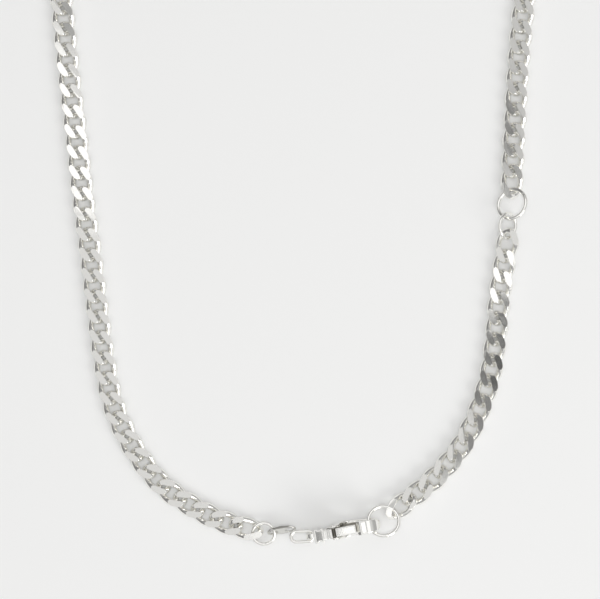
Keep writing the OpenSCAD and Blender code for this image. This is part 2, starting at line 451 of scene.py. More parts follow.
def sharp_edges(shape: bmesh.types.BMesh) -> list[bmesh.types.BMEdge]:
    """Finds the edges at which a shape turns sharply."""
    return [edge for edge in shape.edges if edge.calc_face_angle(0.0) > SHARP]


def break_edges(shape: bmesh.types.BMesh, edges: Sequence[bmesh.types.BMEdge], by: float) -> None:
    """Rounds edges off.

    Args:
        shape: The shape that the edges are part of.
        edges: The edges.
        by: How far the rounding reaches from each edge, in millimetres.
    """
    bmesh.ops.bevel(
        shape,
        geom=edges,
        offset=by,
        offset_type="OFFSET",
        segments=2,
        profile=0.5,
        affect="EDGES",
        clamp_overlap=True,
        material=-1,
    )


def close_rims(shape: bmesh.types.BMesh, by: float, number: int = 0) -> None:
    """Closes a shape's open rims with flat faces, and rounds the rims off.

    Args:
        shape: The shape.
        by: How far the rounding reaches from a rim, in millimetres.
        number: The material number of the flat faces.
    """
    rims = [edge for edge in shape.edges if edge.is_boundary]
    for face in bmesh.ops.holes_fill(shape, edges=rims, sides=0)["faces"]:
        face.material_index = number
    break_edges(shape, rims, by)


def wound_wire(wire: float, radius: float, sides: int, steps: int, turn: float) -> bmesh.types.BMesh:
    """Winds round wire about the origin.

    Args:
        wire: The wire's diameter.
        radius: Radius of its centre line.
        sides: Sides of the wire's section.
        steps: Steps of the whole winding.
        turn: How far it is wound, in radians. A full turn is closed.

    Returns:
        The wire as an open tube, or as a closed ring after a full turn.
    """
    shape = bmesh.new()
    bmesh.ops.create_circle(shape, segments=sides, radius=wire / 2)
    upright = Matrix.Rotation(math.pi / 2, 3, "X")
    bmesh.ops.rotate(shape, verts=shape.verts, cent=(0, 0, 0), matrix=upright)
    bmesh.ops.translate(shape, verts=shape.verts, vec=(radius, 0, 0))
    bmesh.ops.spin(
        shape,
        geom=shape.verts[:] + shape.edges[:],
        cent=(0, 0, 0),
        axis=(0, 0, 1),
        angle=turn,
        steps=steps,
        use_merge=turn >= FULL_TURN,
    )
    return shape


@dataclass
class CurbChain:
    """A curb chain: twisted oval links whose high sides are ground flat.

    Each link is wound as a ring round a hub and then brought to an oval. The form is the
    power of that oval's curve: 2 gives an ellipse, and more gives squarer corners. The
    upper flats stand off level by small tilts that take turns along the chain, and those
    of an odd link, known by its number, by a tilt of its own. On each link the two lean
    slightly to opposite sides. Lengths are in millimetres and angles in degrees.
    """

    node: str
    wire: float = 1.05
    width: float = 3.86
    length: float = 5.95
    thickness: float = 1.59
    twist: float = 44.0
    form: float = 2.4
    facet_edge: float = 0.035
    facet_lean: float = 0.45
    facet_tilts: Sequence[tuple[float, float]] = (
        (0.0, 0.0),
        (0.2, -0.1),
        (-0.15, 0.15),
        (0.1, 0.2),
        (-0.2, -0.1),
    )
    odd_tilts: dict[int, tuple[float, float]] = field(default_factory=dict)
    hub: float = 10.0
    wire_sides: int = 12
    stations: int = 40
    fine_steps: int = 720

    def mid(self, turn: float) -> Vector:
        """Finds a point on the link's centre line.

        Args:
            turn: How far round the link it is, in radians from the end ahead.

        Returns:
            The point. The twist levels off towards both ends.
        """
        half_length = (self.length - self.wire) / 2
        half_width = (self.width - self.wire) / 2
        ahead, aside = math.cos(turn), math.sin(turn)
        share = math.copysign(abs(ahead) ** (2 / self.form), ahead)
        out = half_width * math.copysign(abs(aside) ** (2 / self.form), aside)
        lean = math.radians(self.twist) * (1.5 * share - 0.5 * share**3)
        return Vector((out * math.cos(lean), half_length * share, out * math.sin(lean)))

    def on_link(self, point: Vector) -> Vector:
        """Takes a point of the plain wound ring to its place on the twisted link.

        Args:
            point: A point of the ring, which lies flat round the origin.

        Returns:
            The point's place on the link.
        """
        turn = math.atan2(point.x, point.y)
        step = FULL_TURN / self.fine_steps
        way = (self.mid(turn + step) - self.mid(turn - step)).normalized()
        up = (Vector((0, 0, 1)) - way * way.z).normalized()
        outward = up.cross(way)
        return self.mid(turn) + outward * (point.to_2d().length - self.hub) + up * point.z

    def link(self, tilt: tuple[float, float]) -> bpy.types.Mesh:
        """Models one link in millimetres: a ring of wire, twisted, ground and edged.

        Args:
            tilt: How far the wheel stood off level for the upper flats, about X and Y.

        Returns:
            The link round the origin, with its length along Y.
        """
        shape = wound_wire(self.wire, self.hub, self.wire_sides, self.stations, FULL_TURN)
        for vert in shape.verts:
            vert.co = self.on_link(vert.co)
        pitch = Matrix.Rotation(math.radians(tilt[0]), 3, "X")
        for half in (1, -1):
            lean = math.radians(tilt[1] + self.facet_lean * half)
            self.grind(shape, half, pitch @ Matrix.Rotation(lean, 3, "Y") @ Vector((0, 0, 1)))
            self.grind(shape, half, Vector((0, 0, -1)))
        bmesh.ops.recalc_face_normals(shape, faces=shape.faces)
        shade(shape, has_flats=True)
        made = bpy.data.meshes.new("link")
        shape.to_mesh(made)
        shape.free()
        return made

    def grind(self, shape: bmesh.types.BMesh, half: int, outward: Vector) -> None:
        """Grinds the high wire of half a link down to a flat, and breaks its edge.

        Args:
            shape: The link.
            half: One for the half ahead, where Y is positive, minus one for the other.
            outward: The way that the flat faces.
        """
        faces = [face for face in shape.faces if face.calc_center_median().y * half > 0]
        edges = {edge for face in faces for edge in face.edges}
        verts = {vert for face in faces for vert in face.verts}
        bmesh.ops.bisect_plane(
            shape,
            geom=[*verts, *edges, *faces],
            dist=FINE_TOUCH,
            plane_co=(0, 0, math.copysign(self.thickness / 2, outward.z)),
            plane_no=outward,
            clear_outer=True,
        )
        close_rims(shape, self.facet_edge, number=1)

    def build(self, frame: Frame) -> bpy.types.Object:
        """Sets a link on each of the chain node's solids and makes them one piece.

        Args:
            frame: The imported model.

        Returns:
            The chain.
        """
        tilts = self.facet_tilts
        links = {tilt: self.link(tilt) for tilt in {*tilts, *self.odd_tilts.values()}}
        chain = bmesh.new()
        for number, pose in enumerate(frame.poses(self.node)):
            first = len(chain.verts)
            chain.from_mesh(links[self.odd_tilts.get(number, tilts[number % len(tilts)])])
            chain.verts.ensure_lookup_table()
            bmesh.ops.transform(chain, matrix=pose.matrix(), verts=chain.verts[first:])
        for link in links.values():
            bpy.data.meshes.remove(link)
        finishes = [DRAWN_SILVER, GROUND_SILVER]
        return finish_piece(chain, self.node + "_links", self.node, finishes, Matrix())


@dataclass
class JumpRing:
    """A ring of round wire whose ends are butted together. Lengths in millimetres."""

    node: str
    outer: float
    wire: float
    cut_toward: tuple[float, float]
    cut: float = 0.03
    wire_sides: int = 20
    stations: int = 96

    def build(self, frame: Frame) -> bpy.types.Object:
        """Winds the ring and sets it where its CAD node lies.

        Args:
            frame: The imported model.

        Returns:
            The ring, with its joint on the side that the cut faces.
        """
        radius = (self.outer - self.wire) / 2
        turn = FULL_TURN - self.cut / radius
        shape = wound_wire(self.wire, radius, self.wire_sides, self.stations, turn)
        close_rims(shape, self.cut)
        bmesh.ops.recalc_face_normals(shape, faces=shape.faces)
        shade(shape, has_flats=True)
        pose = frame.poses(self.node)[0]
        up = pose.axes.col[2]
        toward = Vector((*self.cut_toward, 0))
        side = (toward - up * toward.dot(up)).normalized()
        axes = Matrix((side, up.cross(side), up)).transposed()
        place = Pose(pose.centre, axes).matrix()
        return finish_piece(shape, self.node + "_wire", self.node, [DRAWN_SILVER], place)


@dataclass
class OvalLink:
    """The narrow link between tag and clasp, soldered shut. Lengths in millimetres."""

    node: str = "oval_link"
    length: float = 4.2
    width: float = 2.3
    wire: float = 0.54
    wire_sides: int = 20
    stations: int = 40

    def build(self, frame: Frame) -> bpy.types.Object:
        """Bends the link round two pegs and sets it where its CAD node lies.

        Args:
            frame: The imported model.

        Returns:
            The link.
        """
        radius = (self.width - self.wire) / 2
        shape = wound_wire(self.wire, radius, self.wire_sides, self.stations, FULL_TURN)
        for side in (1, -1):
            end = [vert for vert in shape.verts if vert.co.y * side > TOUCH]
            stretch = (0, side * (self.length - self.width) / 2, 0)
            bmesh.ops.translate(shape, verts=end, vec=stretch)
        bmesh.ops.recalc_face_normals(shape, faces=shape.faces)
        shade(shape)
        place = frame.poses(self.node)[0].matrix()
        return finish_piece(shape, "oval_link_wire", self.node, [DRAWN_SILVER], place)


def drawn_round(discs: Sequence[Disc], steps: int = 72) -> bmesh.types.BMesh:
    """Draws the one outline that runs tightly round a few discs.

    Args:
        discs: The discs, with their centres in x and y.
        steps: Corners of the outline.

    Returns:
        The outline as a loop of edges in the plane of x and y.
    """
    shape = bmesh.new()
    bmesh.ops.create_circle(shape, segments=steps, radius=1.0)
    for vert in shape.verts:
        way = vert.co.to_2d().normalized()
        x, y, radius = max(discs, key=lambda disc: Vector(disc[:2]).dot(way) + disc[2])
        vert.co = (x + way.x * radius, y + way.y * radius, 0)
    return shape


def thicken(shape: bmesh.types.BMesh, thickness: float) -> None:
    """Makes faces in the plane of x and y a plate that is centred on that plane.

    Args:
        shape: The faces.
        thickness: The plate's thickness.
    """
    bmesh.ops.translate(shape, verts=shape.verts, vec=(0, 0, -thickness / 2))
    grown = bmesh.ops.extrude_face_region(shape, geom=shape.faces[:])["geom"]
    top = [item for item in grown if isinstance(item, bmesh.types.BMVert)]
    bmesh.ops.translate(shape, verts=top, vec=(0, 0, thickness))
    bmesh.ops.recalc_face_normals(shape, faces=shape.faces)


def flat_plate(discs: Sequence[Disc], thickness: float) -> bmesh.types.BMesh:
    """Makes a level plate whose outline runs tightly round a few discs.

    Args:
        discs: The discs, with their centres in x and y.
        thickness: The plate's thickness.

    Returns:
        The plate, centred on the plane of x and y.
    """
    shape = drawn_round(discs)
    bmesh.ops.contextual_create(shape, geom=shape.edges[:])
    thicken(shape, thickness)
    return shape


def side_plate(discs: Sequence[Disc], width: float) -> bmesh.types.BMesh:
    """Makes a plate that stands on edge, with its outline tightly round a few discs.

    Args:
        discs: The discs, with their centres in x and z.
        width: How wide the plate is along y.

    Returns:
        The plate, centred on the plane of x and z.
    """
    shape = flat_plate(discs, width)
    upright = Matrix.Rotation(math.pi / 2, 3, "X")
    bmesh.ops.rotate(shape, verts=shape.verts, cent=(0, 0, 0), matrix=upright)
    return shape


@dataclass
class Tag:
    """The small blank plate with a ring hole at each end. Lengths in millimetres.

    It is split into strips along its length, so that it can bend across its width. The
    faces farther from its middle line than the edge share of its width get the darker
    sheared finish, which is partly painted shade.
    """

    node: str = "tag"
    length: float = 4.8
    width: float = 2.6
    end_width: float = 2.1
    thickness: float = 0.3
    hole: float = 1.3
    hole_gap: float = 2.64
    hole_sides: int = 40
    edge: float = 0.13
    edge_share: float = 0.4
    bend: float = 0.16
    strips: int = 10

    def build(self, frame: Frame) -> bpy.types.Object:
        """Punches the tag from sheet and sets it where its CAD node lies.

        Args:
            frame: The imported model.

        Returns:
            The tag.
        """
        end = (self.length - self.end_width) / 2
        half = self.end_width / 2
        shape = drawn_round([(0, 0, self.width / 2), (0, end, half), (0, -end, half)])
        for place in (-self.hole_gap / 2, self.hole_gap / 2):
            hole = bmesh.ops.create_circle(shape, segments=self.hole_sides, radius=self.hole / 2)
            bmesh.ops.translate(shape, verts=hole["verts"], vec=(0, place, 0))
        bmesh.ops.triangle_fill(shape, edges=shape.edges[:], use_beauty=True)
        thicken(shape, self.thickness)
        break_edges(shape, sharp_edges(shape), self.edge)
        for number in range(1 - self.strips // 2, self.strips // 2):
            bmesh.ops.bisect_plane(
                shape,
                geom=[*shape.verts, *shape.edges, *shape.faces],
                dist=TOUCH,
                plane_co=(number * self.width / self.strips, 0, 0),
                plane_no=(1, 0, 0),
            )
        outer = self.edge_share * self.width
        # The bands along the long edges get the darker sheared finish, partly painted shade
        dress(shape, lambda face: abs(face.calc_center_median().x) > outer)
        for vert in shape.verts:
            vert.co.z -= self.bend * (2 * vert.co.x / self.width) ** 2
        bmesh.ops.recalc_face_normals(shape, faces=shape.faces)
        shade(shape)
        finishes = [ROLLED_SILVER, SHEARED_SILVER_AND_SHADE]
        return finish_piece(
            shape, "tag_plate", self.node, finishes, frame.poses(self.node)[0].matrix()
        )


def block(low: Sequence[float], high: Sequence[float]) -> bmesh.types.BMesh:
    """Makes a block between two corners.

    Args:
        low: The corner with the least x, y and z.
        high: The corner with the greatest.

    Returns:
        The block.
    """
    shape = bmesh.new()
    bmesh.ops.create_cube(shape, size=1.0)
    size = [b - a for a, b in zip(low, high)]
    bmesh.ops.scale(shape, verts=shape.verts, vec=size)
    middle = [(a + b) / 2 for a, b in zip(low, high)]
    bmesh.ops.translate(shape, verts=shape.verts, vec=middle)
    return shape


def combined(
    base: bmesh.types.BMesh, steps: Sequence[tuple[Cut, bmesh.types.BMesh]], skin: float = 0.0
) -> bmesh.types.BMesh:
    """Adds, cuts and crosses shapes one after another. The shapes are freed.

    Args:
        base: The shape to start from.
        steps: How each further shape is combined with what there is so far.
        skin: Where it isn't zero, the size in millimetres of the even faces that the
            result is covered with.

    Returns:
        One closed shape.
    """
    made = []
    for mesh in [base] + [shape for _, shape in steps]:
        data = bpy.data.meshes.new("carving")
        mesh.to_mesh(data)
        mesh.free()
        item = bpy.data.objects.new("carving", data)
        bpy.context.scene.collection.objects.link(item)
        made.append(item)
    for (cut, _), item in zip(steps, made[1:]):
        step = made[0].modifiers.new("cut", "BOOLEAN")
        step.operation = cut.value
        step.solver = "EXACT"
        step.object = item
    if skin:
        skinned = made[0].modifiers.new("skin", "REMESH")
        skinned.mode = "VOXEL"
        skinned.voxel_size = skin
    bpy.context.view_layer.update()
    result = made[0].evaluated_get(bpy.context.evaluated_depsgraph_get())
    shape = bmesh.new()
    shape.from_mesh(result.to_mesh())
    result.to_mesh_clear()
    for item in made:
        data = item.data
        bpy.data.objects.remove(item)
        bpy.data.meshes.remove(data)
    return shape


def cast(
    base: bmesh.types.BMesh, steps: Sequence[tuple[Cut, bmesh.types.BMesh]], polish: int
) -> bmesh.types.BMesh:
    """Combines shapes and rounds all their edges off, as on a polished casting.

    Args:
        base: The shape to start from, in millimetres.
        steps: How each further shape is combined with what there is so far.
        polish: How many times the skin is smoothed.

    Returns:
        One closed, smooth shape.
    """
    shape = combined(base, steps, skin=SKIN)
    for _ in range(polish):
        bmesh.ops.smooth_vert(
            shape,
            verts=shape.verts,
            factor=0.5,
            use_axis_x=True,
            use_axis_y=True,
            use_axis_z=True,
        )
    bmesh.ops.recalc_face_normals(shape, faces=shape.faces)
    shade(shape)
    return shape


@dataclass
class LobsterClasp:
    """A lobster clasp: a hook with an eye, a sprung lever and its pin.

    It is modelled in millimetres in its own frame, with X along it from the tail's
    end, Y across it and Z up. Faces that would fall together are kept shy of each other
    or a side step apart, and a shape that cuts another reaches past it by a spare length
    or more, or up to the clear height.
    """

    # The hook, with a cheek on each side of the lever
    length: float = 12.4
    hook_height: float = 5.2
    hook_length: float = 10.0
    width: float = 2.8
    widest_ahead: float = 1.2
    nose_width: float = 1.9
    wall: float = 1.0
    throat_length: float = 5.6
    shoulder: float = 3.0
    beak_length: float = 4.0
    chamfer_length: float = 0.7
    chamfer_depth: float = 0.6
    chamfer_spare: tuple[float, float] = (0.1, 0.15)
    chamfer_corner: float = 0.01
    cheek_wall: float = 0.7
    slot_room: float = 0.3
    recess_facing: float = 0.3
    hook_polish: int = 14
    # The tail and its eye
    eye: float = 2.5
    eye_hole: float = 1.4
    eye_height: float = 1.5
    tail: float = 0.85
    # The lever, from its boss round the pin to the gate's end
    lever_width: float = 1.4
    boss_wall: float = 0.45
    boss_shown: tuple[float, float] = (0.28, 0.34)
    knee_ahead: float = 0.9
    gate: float = 1.0
    gate_ahead: float = 0.3
    gate_play: float = 0.15
    corner: float = 0.12
    lever_polish: int = 4
    # The thumb piece, which is a wide head on a narrow neck
    thumb_width: float = 2.2
    thumb: float = 0.8
    thumb_length: float = 2.5
    thumb_back: float = 1.1
    thumb_rise: float = 0.05
    head_length: float = 1.15
    neck_width: float = 1.5
    neck_start: float = 0.3
    neck_back: float = 0.36
    grooves: int = 3
    groove_start: float = 0.45
    groove_pitch: float = 0.28
    groove_width: float = 0.14
    groove_depth: float = 0.1
    notch_start: float = 0.5
    notch_length: float = 0.42
    notch_depth: float = 0.22
    # The pin
    pivot_back: float = 2.2
    pivot_height: float = 3.5
    pin: float = 0.8
    pin_short: float = 0.2
    pin_dome: float = 0.1
    # Clearances, and lengths that only keep the cuts clean
    gap: float = 0.1
    pin_gap: float = 0.03
    shy: float = 0.02
    side_step: float = 0.2
    spare: float = 1.0
    clear_height: float = 9.0

    def __post_init__(self) -> None:
        """Works out the places that follow from the sizes."""
        self.hook_radius = self.hook_height / 2
        self.tail_end = self.length - self.hook_length
        self.back = self.tail_end + self.hook_radius
        self.widest = self.back + self.widest_ahead
        self.beak = self.length - self.beak_length
        self.nose = self.length - self.hook_radius
        self.pivot = self.tail_end + self.pivot_back
        self.cheek = self.pin / 2 + self.cheek_wall
        self.boss = self.pin / 2 + self.boss_wall
        self.bore = self.pin / 2 + self.pin_gap
        self.slot = self.lever_width / 2 + self.gap
        self.thumb_middle = self.hook_height + self.thumb_rise
        self.thumb_top = self.thumb_middle + self.thumb / 2
        self.thumb_end = self.pivot - self.thumb_back
        thumb_start = self.thumb_end - self.thumb_length + self.thumb
        self.head_start = thumb_start - self.thumb / 2 + self.corner
        self.head_end = thumb_start + self.head_length - self.corner

    def outline(self) -> bmesh.types.BMesh:
        """Makes the hook's and tail's outline in plan, as a block that stands out past them.

        Returns:
            The block.
        """
        tall = 3 * self.hook_height
        widest = (self.widest, 0, self.width / 2)
        nose = (self.length - self.nose_width / 2 + self.shy, 0, self.nose_width / 2)
        rear = flat_plate([(self.tail_end, 0, self.tail / 2), widest], tall)
        front = flat_plate([widest, nose], tall)
        strip = block(
            (-self.spare, -self.tail / 2, -self.hook_height),
            (self.tail_end + self.spare, self.tail / 2, 2 * self.hook_height),
        )
        return combined(rear, [(Cut.ADD, front), (Cut.ADD, strip)])

    def hook(self) -> bmesh.types.BMesh:
        """Casts the hook with its cheeks, tail and eye.

        Returns:
            The casting, with painted shade in its recesses.
        """
        radius = self.hook_radius
        across = self.width + self.spare
        through = 2 * across
        hoop = [(self.back, radius, radius), (self.nose, radius, radius)]
        tail = [
            (self.eye / 2, self.eye_height, self.eye / 2),
            (self.back + self.shy, self.eye_height + self.shy, self.eye_height),
        ]
        eye = [(self.eye / 2, self.eye_height, self.eye_hole / 2)]
        inner = radius - self.wall
        throat_back = self.length - self.wall - self.throat_length + inner
        throat = [(throat_back, radius, inner), (self.nose, radius, inner)]
        back, over = self.chamfer_spare
        chamfer = [
            (self.beak - back, self.hook_height + over, self.chamfer_corner),
            (self.beak + self.chamfer_length, self.hook_height + over, self.chamfer_corner),
            (self.beak - back, self.hook_height - self.chamfer_depth, self.chamfer_corner),
        ]
        mouth = block(
            (-self.spare, -across, self.shoulder), (self.beak, across, self.clear_height)
        )
        cheeks = [(self.pivot, self.pivot_height - low, self.cheek) for low in (0, self.cheek)]
        half_slot = self.cheek + self.slot_room
        slot = block(
            (self.pivot - half_slot, -self.slot, self.pivot_height - self.boss - self.gap),
            (self.pivot + half_slot, self.slot, self.clear_height),
        )
        bore = [(self.pivot, self.pivot_height, self.bore)]
        shape = cast(
            side_plate(hoop, across),
            [
                (Cut.ADD, side_plate(tail, across + self.side_step)),
                (Cut.TAKE, side_plate(throat, through)),
                (Cut.TAKE, mouth),
                (Cut.TAKE, side_plate(chamfer, through)),
                (Cut.ADD, side_plate(cheeks, across + 2 * self.side_step)),
                (Cut.KEEP, self.outline()),
                (Cut.TAKE, side_plate(eye, through)),
                (Cut.TAKE, slot),
                (Cut.TAKE, side_plate(bore, through)),
            ],
            self.hook_polish,
        )
        # The floors of the slot and the throat get painted shade
        dress(shape, self.in_recess)
        return shape

    def in_recess(self, face: bmesh.types.BMFace) -> bool:
        """Tells whether a face of the hook is on the floor of the lever's slot or of the throat.

        Args:
            face: A face of the hook.

        Returns:
            Whether it is.
        """
        at = face.calc_center_median()
        low = at.z < self.pivot_height - self.boss + self.gap
        inside = self.pivot - self.cheek < at.x and abs(at.y) < self.slot
        return low and inside and face.normal.z > self.recess_facing

    def lever(self) -> bmesh.types.BMesh:
        """Casts the lever: its gate, its boss round the pin and its thumb piece.

        Returns:
            The casting, with painted shade on the part of its boss that shows between the cheeks.
        """
        corner = self.corner
        boss = (self.pivot, self.pivot_height, self.boss)
        knee = (self.pivot + self.knee_ahead, self.hook_height - self.gate / 2, self.gate / 2)
        gate_end = self.beak - self.gate_play - corner
        gate = [
            (knee[0] - self.shy, knee[1], knee[2] - self.shy / 2),
            (self.pivot + self.gate_ahead + corner, self.hook_height - corner, corner),
            (gate_end, self.hook_height - corner, corner),
            (gate_end, self.hook_height - self.gate + corner, corner),
        ]
        stem = [
            (boss[0] - self.shy, boss[1], boss[2] - self.shy),
            (self.thumb_end, self.thumb_middle, self.thumb / 2),
        ]
        levels = (self.thumb_top - corner, self.thumb_middle - self.thumb / 2 + corner)
        head = [(x, z, corner) for x in (self.head_start, self.head_end) for z in levels]
        neck_ends = (self.head_start + self.neck_start, self.pivot - self.neck_back)
        neck = [(x, z, corner - self.shy) for x in neck_ends for z in levels]
        bore = [(self.pivot, self.pivot_height, self.bore)]
        shape = cast(
            side_plate([boss, knee], self.lever_width),
            [
                (Cut.ADD, side_plate(gate, self.lever_width - self.shy)),
                (Cut.ADD, side_plate(stem, self.lever_width + self.shy)),
                (Cut.ADD, side_plate(head, self.thumb_width)),
                (Cut.ADD, side_plate(neck, self.neck_width)),
                (Cut.TAKE, side_plate(bore, 2 * self.lever_width)),
                *self.grips(),
            ],
            self.lever_polish,
        )
        # The boss, where it shows between the cheeks, gets painted shade
        dress(shape, self.on_boss)
        return shape

    def grips(self) -> list[tuple[Cut, bmesh.types.BMesh]]:
        """Makes the cuts that give the thumb its hold.

        Returns:
            The cuts of the grooves across the thumb piece and of a notch in each side.
        """
        half = self.groove_width / 2
        wide = 2 * self.spare
        first = self.head_end + self.groove_start
        grooves = [
            block(
                (x - half, -wide, self.thumb_top - self.groove_depth),
                (x + half, wide, self.thumb_top + self.spare),
            )
            for x in (first + self.groove_pitch * step for step in range(self.grooves))
        ]
        notch = self.head_start + self.notch_start
        notches = [
            block(
                (notch, side - self.notch_depth, 0),
                (notch + self.notch_length, side + self.notch_depth, self.clear_height),
            )
            for side in (self.thumb_width / 2, -self.thumb_width / 2)
        ]
        return [(Cut.TAKE, cut) for cut in (*grooves, *notches)]

    def on_boss(self, face: bmesh.types.BMFace) -> bool:
        """Tells whether a face of the lever is where its boss shows between the cheeks.

        Args:
            face: A face of the lever.

        Returns:
            Whether it is.
        """
        at = face.calc_center_median()
        back, ahead = self.boss_shown
        return self.pivot - back < at.x < self.pivot + ahead and at.z < self.thumb_middle

    def pivot_pin(self) -> bmesh.types.BMesh:
        """Turns the pin, with slightly domed ends.

        Returns:
            The pin.
        """
        axis = [(self.pivot, self.pivot_height, self.pin / 2)]
        shape = side_plate(axis, self.width - 2 * self.pin_short)
        break_edges(shape, sharp_edges(shape), self.pin_dome)
        shade(shape, has_flats=True)
        return shape

    def build(self, frame: Frame) -> list[bpy.types.Object]:
        """Makes the clasp's three pieces and sets them where their CAD nodes lie.

        Args:
            frame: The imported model.

        Returns:
            The hook, the lever and the pin.
        """
        place = frame.pivot_pose(self.pivot, self.pivot_height).matrix()
        # The second finish is the recesses' painted shade
        finishes = [CAST_SILVER, RECESS_SHADE_SILVER]
        return [
            finish_piece(self.hook(), "clasp_hook", "clasp_body", finishes, place),
            finish_piece(
                self.lever(), "clasp_gate_lever", "clasp_lever", finishes, place, Body.LEVER
            ),
            finish_piece(self.pivot_pin(), "clasp_pivot_pin", "clasp_pin", [DRAWN_SILVER], place),
        ]


@dataclass(frozen=True)
class SoftBox:
    """A soft studio light: a lit rectangle that faces the necklace. Sizes in metres."""

    name: str
    place: tuple[float, float, float]
    aim: tuple[float, float, float]
    size: tuple[float, float]
    power: float
    mirrored: bool = True

    def build(self) -> bpy.types.Object:
        """Hangs the light in its place and turns it to face its aim.

        Returns:
            The light.
        """
        lamp = bpy.data.lights.new(self.name, "AREA")
        lamp.shape = "RECTANGLE"
        lamp.size, lamp.size_y = self.size
        lamp.energy = self.power
        item = bpy.data.objects.new(self.name, lamp)
        item.location = self.place
        way = Vector(self.aim) - Vector(self.place)
        item.rotation_euler = way.to_track_quat("-Z", "Y").to_euler()
        item.visible_camera = False
        item.visible_glossy = self.mirrored
        bpy.context.scene.collection.objects.link(item)
        return item


@dataclass(frozen=True)
class Card:
    """A white, grey or black card over the table, which only reflections show.

    Its sides run along x and y from its low corner to its high one, in metres. Its tone
    is how bright it is, where one is white.
    """

    name: str
    low: tuple[float, float]
    high: tuple[float, float]
    tone: float
    layer: Layer = Layer.MIDDLE

    def build(self) -> bpy.types.Object:
        """Hangs the card.

        Returns:
            The card.
        """
        shape = bmesh.new()
        bmesh.ops.create_grid(shape, x_segments=1, y_segments=1, size=0.5)
        size = [b - a for a, b in zip(self.low, self.high)]
        bmesh.ops.scale(shape, verts=shape.verts, vec=(*size, 1))
        middle = [(a + b) / 2 for a, b in zip(self.low, self.high)]
        bmesh.ops.translate(shape, verts=shape.verts, vec=(*middle, self.layer.value))
        data = bpy.data.meshes.new(self.name)
        shape.to_mesh(data)
        shape.free()
        data.materials.append(self.paper())
        card = bpy.data.objects.new(self.name, data)
        bpy.context.scene.collection.objects.link(card)
        card.visible_camera = False
        card.visible_shadow = False
        card.visible_diffuse = False
        card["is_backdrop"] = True
        return card

    def paper(self) -> bpy.types.Material:
        """Makes the card's evenly lit paper.

        Returns:
            The material.
        """
        made = bpy.data.materials.new(self.name + "_paper")
        made.use_nodes = True
        tree = made.node_tree
        tree.nodes.clear()
        glow = add_node(
            tree, "ShaderNodeEmission", {"Color": linear("#FFFFFF"), "Strength": self.tone}
        )
        add_node(tree, "ShaderNodeOutputMaterial", {"Surface": glow.outputs["Emission"]})
        return made


